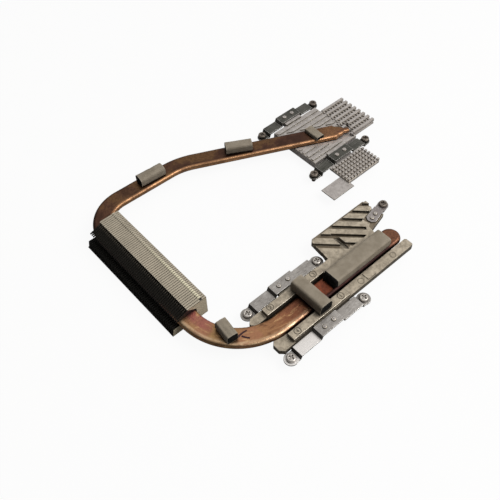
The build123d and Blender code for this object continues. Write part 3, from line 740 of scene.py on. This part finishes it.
def build_fins():
    """The folded fins, each with its plate, top fold, foot fold and raised tongue."""
    bm = bmesh.new()
    x = FIN_X
    fold_foot = FIN_TOP - FOLD_R
    edge = x["back"] - STRIP_IN
    for i in range(FIN_COUNT):
        y = FIN_NEAR + i * FIN_PITCH
        sway = 0.03 * noise.noise(Vector((i * 1.7, 3.1, 0.4)))
        slot = x["slot"] - (SHORT_BY if i < SHORT_SLOTS else 0)
        plate = [
            (x["foot"], FIN_LOW + FOOT_R), (x["back"], FIN_LOW + FOOT_R), (x["back"], fold_foot),
            (x["top"], fold_foot), (x["top"] - 0.45, fold_foot - 0.1), (x["brow"], BROW_TOP),
            (x["brow"], SLOT_HIGH), (slot, SLOT_HIGH), (slot, SLOT_LOW), (x["shelf"], SLOT_LOW),
        ]
        near_face = slab(bm, plate, y, y + SHEET, dark=range(3, 10))
        top = [(y + dy, FIN_TOP + dz + sway) for dy, dz in fold_section(1, LAP, FOLD_R)]
        foot = [(y + dy, FIN_LOW + dz) for dy, dz in fold_section(-1, FOOT_LAP, FOOT_R)]
        low, high = FIN_TOP - 0.05 + sway, FIN_TOP + STRIP_RISE + sway
        tongue_face = TONGUE_FACE
        if i == 0:
            # On the first fin, the part of the outer face above the pipe towards -X, and its tongue, are
            # painted dark as shade.
            rest = bmesh.utils.face_split(near_face, near_face.verts[3], near_face.verts[7])[0]
            for part in (near_face, rest):
                part.material_index = SHADE_FACE if len(part.verts) == 5 else END_FACE
            low, high = FIN_TOP - 0.2, FIN_TOP + 0.03
            tongue_face = SHADE_FACE
        bar_of(bm, top, x["top"], x["back"])
        bar_of(bm, foot, x["foot"], x["back"])
        start = edge - STRIP_WIDE
        tongue = [(start, low), (start + 0.2, high - 0.08), (start + 0.4, high), (edge - 0.4, high),
                  (edge - 0.2, high - 0.08), (edge, low)]
        slab(bm, tongue, y + 0.22, y + LAP - 0.05, tongue_face)
    finishes = [fin_sheet, tongue_highlight_sheet, fin_shade_edge, lit_end_sheet]
    obj = piece("fin_stack", bm, finishes, ["radiator_fins"])
    sharp_corners(obj, 30)


build_fins()


# Castings and arms

# Corner of the chipset wing and heights of its groove floors
WING_X, WING_Y, GROOVE_LOW, GROOVE_HIGH = 29.5, 9.5, 3.6, 5.4
# Field of the ribs on the graphics plate, the foot of the ribs, and the far corner of the tab
RIB_X, RIB_Y, RIB_FOOT = (78.5, 115.5), (71.5, 108.5), 3.1
TAB_X, TAB_Y = 82, 54


def on_groove_floor(at, way):
    """Floors of the grooves in the chipset wing, which are darkened as painted shade."""
    return way.z > 0.9 and at.x > WING_X and at.y > WING_Y and GROOVE_LOW < at.z < GROOVE_HIGH


def on_shaded_block_wall(at, way):
    """Upright walls of the block that face -X or -Y, which are darkened as painted shade."""
    return min(way.x, way.y) < -0.6 and abs(way.z) < 0.3


def on_shaded_plate_side(at, way):
    """Sides of the plate's ribs that face -Y, and edges of the tab that face -X or -Y, which are
    darkened as painted shade.
    """
    on_ribs = RIB_X[0] < at.x < RIB_X[1] and RIB_Y[0] < at.y < RIB_Y[1] and at.z > RIB_FOOT
    on_tab = at.x < TAB_X and at.y < TAB_Y
    return (on_ribs and way.y < -0.8) or (on_tab and min(way.x, way.y) < -0.8)


def on_shaded_arm_side(at, way):
    """Steps and edges of an arm that face -X, and its edges that face -Y, which are darkened as painted
    shade.
    """
    return way.x < -0.5 or way.y < -0.8


BLOCK_EASE, PLATE_EASE, ARM_EASE = 0.26, 0.16, 0.14
block = eased("cpu_block", "block_casting", block_cast, cast_edge, BLOCK_EASE, 3)
# Painted shade on the groove floors, and on walls and steps that face -X or -Y.
paint_shade_on(block, groove_shade_cast, on_groove_floor)
paint_shade_on(block, shaded_block_wall, on_shaded_block_wall)
plate = eased("gpu_plate", "plate_casting", plate_cast, cast_edge, PLATE_EASE)
paint_shade_on(plate, shaded_rib_side, on_shaded_plate_side)
for node, name, finish in (("cpu_front_arm", "front_arm_steel", bright_arm_steel),
                           ("cpu_back_arm", "back_arm_steel", arm_steel),
                           ("chipset_arm", "chipset_arm_steel", chip_steel)):
    arm = eased(node, name, finish, arm_edge, ARM_EASE)
    paint_shade_on(arm, shaded_step_steel, on_shaded_arm_side)
for node, name in (("gpu_front_arm", "plate_front_arm_steel"), ("gpu_back_arm", "plate_back_arm_steel")):
    eased(node, name, dark_arm_steel, arm_edge, ARM_EASE)
contact_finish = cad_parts["cpu_contact_plate"].data.materials
contact_finish.clear()
contact_finish.append(plate_copper)

CHIP_AT, CHIP_TURN, CHIP_REACH = Vector((70.8, 16.2)), math.radians(13.5), 11.8
GPU_AT, GPU_SPAN = Vector((95.7, 89.8)), (46.6, 47.8)
CHIP_ARM_TOP, CPU_ARM_TOP, GPU_ARM_TOP = 5.8, 5.9, 5.1
CHIP_PEG, ARM_PEG = 1.95, 3.3
CPU_MID_Y, CPU_PEG_Y = 0.3, 17.1
# Radius and height of the peened head of a peg, from its foot to its dimple
PEG_HEAD = ((1.27, -0.02), (1.27, 0.12), (1.2, 0.34), (1.05, 0.5), (0.8, 0.6), (0.4, 0.58), (0.2, 0.55))
PEG_COUNT = 28


def on_chip(x):
    """Place on the line of the chipset arm."""
    return CHIP_AT + x * Vector((math.cos(CHIP_TURN), math.sin(CHIP_TURN)))


def build_pegs():
    """Peened heads of the cast pegs that hold the arms."""
    spots = [(*on_chip(side * CHIP_PEG), CHIP_ARM_TOP) for side in (-1, 1)]
    for side in (-1, 1):
        for peg in (-ARM_PEG, ARM_PEG):
            spots.append((peg, CPU_MID_Y + side * CPU_PEG_Y, CPU_ARM_TOP))
            spots.append((GPU_AT.x + peg, GPU_AT.y + side * GPU_SPAN[1] / 2, GPU_ARM_TOP))
    bm = bmesh.new()
    for spot in spots:
        place = Matrix.Translation(spot)
        closed_skin(bm, [circle(place, r, h, PEG_COUNT) for r, h in PEG_HEAD])
    piece("peened_pegs", bm, plate_cast)


build_pegs()

RIB_COUNT, RIB_PITCH, RIB_MID_Y = 8, 3.95, GPU_AT.y - 1.8
RIB_END_AT, RIB_END_SIZE, RIB_END_DRAFT = (115.85, 3.2), (3.0, 1.95, 1.5), 0.9


def build_rib_ends():
    """Runs the plate's ribs on into the bars of the outer field."""
    bm = bmesh.new()
    long, wide, high = RIB_END_SIZE
    for k in range(RIB_COUNT):
        y = RIB_MID_Y + (k - (RIB_COUNT - 1) / 2) * RIB_PITCH
        at = Vector((RIB_END_AT[0], y, RIB_END_AT[1]))
        for vertex in bmesh.ops.create_cube(bm, size=1.0)["verts"]:
            draft = RIB_END_DRAFT if vertex.co.z > 0 else 1.0
            vertex.co = at + Vector((vertex.co.x * long, vertex.co.y * wide * draft, vertex.co.z * high))
    piece("rib_ends", bm, plate_cast, smooth=False)


build_rib_ends()


# Captive screws

SCREW_SEAT, CHIP_EAR_DROP, HEAD_GAP = 1.3, 1.4, 0.2
CPU_FRONT_SCREW, CPU_BACK_SCREW = (26.8, -16.8), (25.65, 17.4)
SCREW_COUNT = 64
CROWN_R, CROWN_TOP, CROWN_DROP, CROWN_RINGS = 2.12, 1.5, 0.16, 18
CROSS_DEPTH, CROSS_HALF, CROSS_REACH = 0.75, 0.46, 1.55
CROSS_SIDE_SLOPE, CROSS_END_SLOPE = 0.16, 0.35
THREAD_TOP, THREAD_PITCH, THREAD_TURNS = -3.2, 0.28, 7
NECK_R = 0.95
# Radius and height of the head's side, its underside and the neck
HEAD_SIDE = ((2.32, 1.25), (2.44, 1.05), (2.5, 0.75), (2.5, 0.08), (2.42, 0.0),
             (NECK_R, 0.0), (NECK_R, THREAD_TOP))
# Radius and depth of one turn of the thread
THREAD_TURN = ((1.0, 0.0), (1.25, -0.1), (1.25, -0.16), (1.0, -0.27))
SCREW_TIP = (0.8, -5.2)
# Screws past these places are dull
DULL_X, DULL_Y = 60, 20


def screw_spots():
    """Seats of the nine screws, the chipset's first."""
    spots = [(*on_chip(CHIP_REACH), CHIP_ARM_TOP - CHIP_EAR_DROP + HEAD_GAP)]
    for side in (-1, 1):
        for x, y in (CPU_FRONT_SCREW, CPU_BACK_SCREW):
            spots.append((side * x, y, SCREW_SEAT))
        x = GPU_AT.x + side * GPU_SPAN[0] / 2
        for back in (-1, 1):
            spots.append((x, GPU_AT.y + back * GPU_SPAN[1] / 2, SCREW_SEAT))
    return spots


def cross_depth(x, y):
    """Depth of the driver cross at a point of the head."""
    def arm(u, v):
        side = max(0.0, min(1.0, (CROSS_HALF - abs(v)) / CROSS_SIDE_SLOPE))
        end = max(0.0, min(1.0, (CROSS_REACH - abs(u)) / CROSS_END_SLOPE))
        return side * end
    return CROSS_DEPTH * max(arm(x, y), arm(y, x))


def build_screws():
    """The captive screws, each with a crowned head, a driver cross, a neck and a thread."""
    bm = bmesh.new()
    level = Matrix.Identity(4)
    for n, (x, y, z) in enumerate(screw_spots()):
        place = Matrix.Translation((x, y, z)) @ Matrix.Rotation(0.7 + n * 1.13, 4, "Z")
        rings = []
        for k in range(1, CROWN_RINGS + 1):
            share = k / CROWN_RINGS
            crown = CROWN_TOP - CROWN_DROP * share ** 2
            rings.append([place @ (p - Vector((0, 0, cross_depth(p.x, p.y))))
                          for p in circle(level, CROWN_R * share, crown, SCREW_COUNT)])
        profile = list(HEAD_SIDE)
        for t in range(THREAD_TURNS):
            profile += [(r, THREAD_TOP + h - THREAD_PITCH * t) for r, h in THREAD_TURN]
        profile.append(SCREW_TIP)
        rings += [circle(place, r, h, SCREW_COUNT) for r, h in profile]
        closed_skin(bm, rings, tag=1 if y > DULL_Y or x > DULL_X else 0)
    finishes = [screw_steel, dull_screw_steel]
    obj = piece("captive_screw_set", bm, finishes, ["captive_screws"])
    sharp_corners(obj, 50)


build_screws()


# Gaskets

# Points round a wrap, fabric thickness, room left for swelling, and rings to a millimetre of length
WRAP_COUNT, FABRIC, SLACK, WRAP_STEPS = 64, 0.14, 0.1, 1.6
RAGGED, FOAM_FIT, FOAM_ROUGH, FOAM_CROWN = 0.12, 0.985, 0.16, 0.35
# Cloth trial: scale in metres for a millimetre, largest move at that scale, and frames
TRIAL_SCALE, TRIAL_MOST, TRIAL_FRAMES = 0.1, 0.03, 20
CLOTH = {
    "quality": 6, "mass": 0.3, "tension_stiffness": 60, "compression_stiffness": 60,
    "shear_stiffness": 20, "bending_stiffness": 4, "use_pressure": True,
    "uniform_pressure_force": 0.9, "vertex_group_mass": "glued",
}


def wrap_section(wide, high, corner):
    """Points round a soft-cornered rectangle, starting at the middle of the bottom."""
    straight_w, straight_h = wide / 2 - corner, high / 2 - corner
    path = [(0.0, -high / 2), (straight_w, -high / 2)]
    for cx, cz, first in ((1, -1, -90), (1, 1, 0), (-1, 1, 90), (-1, -1, 180)):
        for i in range(7):
            a = math.radians(first + 15 * i)
            path.append((cx * straight_w + corner * math.cos(a),
                         cz * straight_h + corner * math.sin(a)))
    path.append((0.0, -high / 2))
    lengths = [0.0]
    for a, b in zip(path, path[1:]):
        lengths.append(lengths[-1] + math.dist(a, b))
    points, k = [], 0
    for i in range(WRAP_COUNT):
        goal = lengths[-1] * i / WRAP_COUNT
        while lengths[k + 1] < goal:
            k += 1
        part = (goal - lengths[k]) / max(1e-9, lengths[k + 1] - lengths[k])
        points.append(tuple(a + (b - a) * part for a, b in zip(path[k], path[k + 1])))
    return points


def settled(rings, held):
    """Lets a wrap swell as cloth under light pressure, at a hundred times its size."""
    count = len(rings[0])
    corners = []
    for k in range(len(rings) - 1):
        for i in range(count):
            j = (i + 1) % count
            corners.append((k * count + i, k * count + j, (k + 1) * count + j, (k + 1) * count + i))
    start = [TRIAL_SCALE * Vector(p) for ring in rings for p in ring]
    mesh = bpy.data.meshes.new("wrap_trial")
    mesh.from_pydata(start, [], corners)
    obj = bpy.data.objects.new("wrap_trial", mesh)
    scene = bpy.context.scene
    scene.collection.objects.link(obj)
    glued = obj.vertex_groups.new(name="glued")
    glued.add(held, 1.0, "REPLACE")
    cloth = obj.modifiers.new("cloth", "CLOTH")
    for key, value in CLOTH.items():
        setattr(cloth.settings, key, value)
    cloth.settings.effector_weights.gravity = 0
    cloth.point_cache.frame_end = TRIAL_FRAMES
    for step in range(1, TRIAL_FRAMES + 1):
        scene.frame_set(step)
    shape = obj.evaluated_get(bpy.context.evaluated_depsgraph_get()).data
    moved = []
    for rest, vertex in zip(start, shape.vertices):
        shift = vertex.co - rest
        if shift.length > TRIAL_MOST:
            shift *= TRIAL_MOST / shift.length
        moved.append((rest + shift) / TRIAL_SCALE)
    bpy.data.objects.remove(obj)
    bpy.data.meshes.remove(mesh)
    scene.frame_set(1)
    return [moved[k * count:(k + 1) * count] for k in range(len(rings))]


def wrap_ring(size, seed, at, shrink):
    """One ring of a wrap at a place along it, wandering a little where it is free."""
    wide, high = size
    corner = max(0.35, min(0.8, high * 0.14))
    points = []
    inside = (wide - 2 * SLACK - 2 * shrink, high - SLACK - 2 * shrink)
    for v, w in wrap_section(*inside, corner - shrink / 2):
        w -= SLACK / 2
        up = max(0.0, w / (high / 2))
        side = abs(v) / (wide / 2)
        wander = 0.09 * noise.noise(Vector((at * 0.3 + seed * 9, v * 0.35, w * 0.4)))
        wander += 0.04 * noise.noise(Vector((at * 1.1 + seed * 5, v, w)))
        loose = min(1.0, max(0.0, (w + high / 2 - 0.4) / 1.2))
        out = math.copysign(side ** 3, v) * wander * loose
        points.append(Vector((at, v + out, w + up ** 3 * wander)))
    return points


def wrap_rings(length, size, seed):
    """Outer and inner rings of a swollen wrap, ragged at both ends."""
    high = size[1]
    steps = max(14, round(length * WRAP_STEPS))
    spots = [-length / 2 + length * i / steps for i in range(steps + 1)]
    rest = [wrap_ring(size, seed, at, 0.0) for at in spots]
    inner = [wrap_ring(size, seed, at, FABRIC) for at in spots]
    held = [k * WRAP_COUNT + i for k in range(steps + 1) for i in range(WRAP_COUNT)
            if rest[k][i].z < -high / 2 + 0.3]
    outer = settled(rest, held)
    for k in range(steps + 1):
        inner[k] = [o + n - r for o, n, r in zip(outer[k], inner[k], rest[k])]
    for n, k in enumerate((0, steps)):
        sign = 2 * n - 1
        ragged = [RAGGED * sign * noise.noise(Vector((i * 0.45, seed, n))) for i in range(WRAP_COUNT)]
        outer[k] = [p + Vector((r, 0, 0)) for p, r in zip(outer[k], ragged)]
        inner[k] = [p + Vector((r, 0, 0)) for p, r in zip(inner[k], ragged)]
    return outer, inner


def foam_end(foam, row, ahead, high, seed, way, jut):
    """Closes an end of a foam core with a rough, crowned face that stands out where it is torn."""
    centre = sum((v.co for v in row), Vector()) / WRAP_COUNT
    last = row
    for share in (0.95, 0.8, 0.55, 0.3) if jut else (0.8, 0.55, 0.3):
        loop = []
        for i, v in enumerate(row):
            rough = (FOAM_ROUGH + 0.3 * jut) * noise.noise(Vector((i * 0.8, seed * 3 + share * 7, way)))
            low = 0.5 - share * (v.co.z - centre.z) / high
            out = FOAM_CROWN * (1 - share) + rough + jut * (0.3 + 0.7 * low)
            loop.append(foam.verts.new(centre + (v.co - centre) * share + ahead * out))
        for i in range(WRAP_COUNT):
            j = (i + 1) % WRAP_COUNT
            foam.faces.new((last[i], last[j], loop[j], loop[i]))
        last = loop
    foam.faces.new(last)


def build_gasket(name, size, x, y, turn, floor, seed, torn=0.0):
    """A foam core in a thin wrap of fabric, swollen on its free sides and ragged at its open ends."""
    length, wide, high = size
    place = Matrix.Translation((x, y, floor + high / 2)) @ Matrix.Rotation(math.radians(turn), 4, "Z")
    outer, inner = wrap_rings(length, (wide, high), seed)

    fabric = bmesh.new()
    rows = skin(fabric, [[place @ p for p in points] for points in outer + inner[::-1]])
    for i in range(WRAP_COUNT):
        j = (i + 1) % WRAP_COUNT
        fabric.faces.new((rows[-1][i], rows[-1][j], rows[0][j], rows[0][i]))
    cover = piece(name + "_wrap", fabric, gasket_fabric, [name + "_fabric"])
    sharp_corners(cover, 60)

    foam = bmesh.new()
    middle = Vector((0, 0, -SLACK / 2))
    loops = []
    for points in inner:
        loops.append([place @ Vector((p.x, *(FOAM_FIT * (p - middle).yz))) + middle for p in points])
    rows = skin(foam, loops)
    for row, way in ((rows[0], -1), (rows[-1], 1)):
        ahead = place.to_3x3() @ Vector((way, 0, 0))
        foam_end(foam, row, ahead, high, seed, way, torn if way < 0 else 0.0)
    core = piece(name + "_core", foam, gasket_foam, [name + "_foam"])


BAR_TOP, TAIL_TOP = 6.7, 5.7
build_gasket("far_pad", (17.0, 6.8, 5.8), -5.9, 128.2, -4.0, PIPE_TOP, 1)
build_gasket("span_pad", (16.8, 6.5, 5.8), 49.6, 110.7, -30.0, PIPE_TOP, 2)
build_gasket("gpu_pad", (11.6, 6.8, 2.0), 94.5, 88.2, 88.0, PIPE_TOP, 3)
build_gasket("bend_pad", (11.4, 6.3, 6.4), -43.0, 13.6, 83.0, PIPE_TOP, 4)
build_gasket("cross_pad", (22.4, 8.4, 6.5), 3.4, 0.0, 90.0, BAR_TOP, 5)
build_gasket("long_pad", (42.0, 10.8, 5.0), 40.3, 0.6, 0.0, PIPE_TOP, 6, torn=2.3)


# Cast marks and pen strokes

DIGIT_LINES = {
    1: [[(-0.35, 0.55), (0.05, 0.95), (0.05, -0.95)]],
    2: [[(-0.55, 0.55), (-0.3, 0.9), (0.2, 0.95), (0.5, 0.6), (0.4, 0.15), (-0.6, -0.95), (0.6, -0.95)]],
    3: [[(-0.5, 0.8), (0.0, 0.98), (0.45, 0.65), (0.3, 0.15), (-0.1, 0.05), (0.35, -0.05), (0.5, -0.5),
         (0.1, -0.95), (-0.5, -0.8)]],
    4: [[(0.3, -0.95), (0.3, 0.95), (-0.6, -0.35), (0.65, -0.35)]],
}
DIGIT_HALF_WIDE, DIGIT_HALF_HIGH = 0.95, 1.05
# Half width and rise of a cast line, and radius of the rings round numbers and of plain rings
LINE_HALF, LINE_RISE, NUMBER_RING = 0.16, 0.11, 1.85
FAINT_HALF, FAINT_RISE, PLAIN_RING = 0.12, 0.08, 1.7
LINE_SUNK, LINE_FOOT = -0.03, 1.5
NUMBERS_AT = {2: (-16.2, 10.2), 3: (15.2, 10.2), 4: (-15.6, -9.6), 1: (16.0, -9.6)}
PLAIN_RINGS_AT = ((57.4, -9.9), (31.4, -9.9))


def cast_line(bm, points, at, height, half=LINE_HALF, rise=LINE_RISE, closed=False):
    """A raised line along points on a flat face."""
    count = len(points)
    foot = half * LINE_FOOT
    section = ((foot, LINE_SUNK), (half, rise), (-half, rise), (-foot, LINE_SUNK))
    rings = []
    for i, p in enumerate(points):
        before = Vector(points[i - 1] if i or closed else points[i])
        after = Vector(points[(i + 1) % count] if i < count - 1 or closed else points[i])
        way = (after - before).normalized()
        spot = Vector(p) + Vector(at)
        rings.append([(spot.x - way.y * o, spot.y + way.x * o, height + h) for o, h in section])
    if closed:
        skin(bm, rings + [rings[0]])
    else:
        closed_skin(bm, rings)


def cast_ring(bm, at, radius, height, half=LINE_HALF, rise=LINE_RISE):
    """A raised ring on a flat face."""
    points = [p.xy for p in circle(Matrix.Identity(4), radius, 0.0, 36)]
    cast_line(bm, points, at, height, half, rise, closed=True)


def build_marks():
    """Screw order numbers in rings on the bars, and ejector rings on the tail."""
    bm = bmesh.new()
    for number, at in NUMBERS_AT.items():
        cast_ring(bm, at, NUMBER_RING, BAR_TOP)
        for line in DIGIT_LINES[number]:
            points = [(DIGIT_HALF_WIDE * x, DIGIT_HALF_HIGH * y) for x, y in line]
            cast_line(bm, points, at, BAR_TOP)
    for at in PLAIN_RINGS_AT:
        cast_ring(bm, at, PLAIN_RING, TAIL_TOP, FAINT_HALF, FAINT_RISE)
    piece("cast_marks", bm, mark_cast, smooth=False)


build_marks()


def ink_finish():
    """Faded felt pen on copper."""
    made, tree, surface = finish_for("pen_ink", 0.2, 0.3)
    speckle = use(tree, grain, Fine=2200.0, Coarse=500.0, Stretch=(1, 1, 1))
    tone = blend(tree, speckle.outputs["Coarse"], tint(44, 26, 34), tint(78, 46, 50))
    tree.links.new(tone, surface.inputs["Base Color"])
    tree.links.new(span(tree, speckle.outputs["Fine"], 0, 1, 0.45, 0.65), surface.inputs["Roughness"])
    return made


def build_strokes():
    """Two pen strokes on the near bend, beside the gasket."""
    bm = bmesh.new()
    lines = [[(-40.2, 8.3), (-38.2, 8.6), (-36.2, 8.6), (-34.1, 8.3)],
             [(-38.3, 7.5), (-37.6, 6.2), (-36.8, 5.0), (-35.9, 3.9)]]
    for line in lines:
        cast_line(bm, line, (0, 0), PIPE_TOP - 0.03, half=0.34, rise=0.05)
    piece("pen_strokes", bm, ink_finish(), smooth=False)


build_strokes()


# Floor, light and camera

FLOOR_GAP = 0.00002
BRIGHT_SKY = Vector((0.66, -0.1, 0.74))
KEY_TARGET, KEY_FROM, KEY_AWAY = Vector((0.02, 0.06, 0.0)), Vector((0.42, -0.46, 0.78)), 0.75
KEY_SIZE, KEY_WATTS = (0.5, 0.4), 2.6
# Place of the photo's view in metres, its angles in degrees, and its focal length in picture widths
VIEW_AT = (-0.142907, -0.125385, 0.294836)
VIEW_TURN, VIEW_RISE, VIEW_ROLL = -40.14, 52.22, 1.94
VIEW_FOCAL, FILM = 656 / 500, 36.0


def build_floor():
    """Pale paper that looks almost white and throws little light up at the part."""
    mesh = bpy.data.meshes.new("floor")
    bm = bmesh.new()
    bmesh.ops.create_grid(bm, x_segments=2, y_segments=2, size=3.0)
    bm.to_mesh(mesh)
    bm.free()
    obj = bpy.data.objects.new("floor", mesh)
    obj.location.z = solid_box[0].z - FLOOR_GAP
    bpy.context.scene.collection.objects.link(obj)
    made = bpy.data.materials.new("pale_floor")
    made.use_nodes = True
    tree = made.node_tree
    tree.nodes.remove(tree.nodes["Principled BSDF"])
    rays = add(tree, "ShaderNodeLightPath")
    seen = maths(tree, "MAXIMUM", rays.outputs["Is Camera Ray"], rays.outputs["Is Transmission Ray"])
    shown = maths(tree, "MAXIMUM", seen, times(tree, rays.outputs["Is Glossy Ray"], 0.4))
    where = add(tree, "ShaderNodeTexCoord")
    pulp = add(tree, "ShaderNodeTexNoise", Scale=60.0, Detail=4.0, Roughness=0.6)
    tree.links.new(where.outputs["Object"], pulp.inputs["Vector"])
    paper = blend(tree, span(tree, pulp.outputs[0], 0.3, 0.7), (0.93, 0.93, 0.93), (0.96, 0.96, 0.96))
    matte = add(tree, "ShaderNodeBsdfDiffuse")
    tree.links.new(blend(tree, shown, (0.1, 0.1, 0.1), paper), matte.inputs["Color"])
    glow = add(tree, "ShaderNodeEmission", Strength=1.0)
    both = add(tree, "ShaderNodeMixShader")
    tree.links.new(times(tree, seen, 0.93), both.inputs[0])
    tree.links.new(matte.outputs[0], both.inputs[1])
    tree.links.new(glow.outputs[0], both.inputs[2])
    tree.links.new(both.outputs[0], tree.nodes["Material Output"].inputs["Surface"])
    mesh.materials.append(made)


build_floor()


def build_studio():
    """A soft sky that is brighter on one side, and one large key light."""
    world = bpy.data.worlds.new("studio")
    world.use_nodes = True
    bpy.context.scene.world = world
    tree = world.node_tree
    sky = tree.nodes["Background"]
    way = add(tree, "ShaderNodeTexCoord")
    facing = add(tree, "ShaderNodeVectorMath", operation="DOT_PRODUCT")
    facing.inputs[1].default_value = BRIGHT_SKY.normalized()
    tree.links.new(way.outputs["Generated"], facing.inputs[0])
    level = span(tree, facing.outputs["Value"], -0.05, 0.85, 0.02, 0.7)
    rays = add(tree, "ShaderNodeLightPath")
    level = maths(tree, "MAXIMUM", level, rays.outputs["Is Camera Ray"])
    sky.inputs["Color"].default_value = (1.0, 0.99, 0.97, 1)
    tree.links.new(level, sky.inputs["Strength"])
    lamp = bpy.data.lights.new("key", "AREA")
    lamp.shape = "RECTANGLE"
    lamp.size, lamp.size_y = KEY_SIZE
    lamp.energy = KEY_WATTS
    lamp.color = (1.0, 0.98, 0.95)
    obj = bpy.data.objects.new("key", lamp)
    obj.location = KEY_TARGET + KEY_AWAY * KEY_FROM.normalized()
    obj.rotation_mode = "QUATERNION"
    obj.rotation_quaternion = (KEY_TARGET - obj.location).to_track_quat("-Z", "Y")
    bpy.context.scene.collection.objects.link(obj)


build_studio()


def build_camera():
    """The camera of the photo's view."""
    a, e, r = (math.radians(v) for v in (VIEW_TURN, VIEW_RISE, VIEW_ROLL))
    back = Vector((math.sin(a) * math.cos(e), -math.cos(a) * math.cos(e), math.sin(e)))
    right = (-back).cross(Vector((0, 0, 1))).normalized()
    down = (-back).cross(right)
    side = right * math.cos(r) + down * math.sin(r)
    below = down * math.cos(r) - right * math.sin(r)
    data = bpy.data.cameras.new("photo_view")
    data.sensor_width = FILM
    data.lens = FILM * VIEW_FOCAL
    data.clip_start, data.clip_end = 0.01, 20
    obj = bpy.data.objects.new("photo_view", data)
    turn = Matrix((side, -below, back)).transposed()
    obj.matrix_world = Matrix.Translation(VIEW_AT) @ turn.to_4x4()
    bpy.context.scene.collection.objects.link(obj)
    bpy.context.scene.camera = obj


build_camera()
bpy.context.scene.view_settings.view_transform = "Standard"
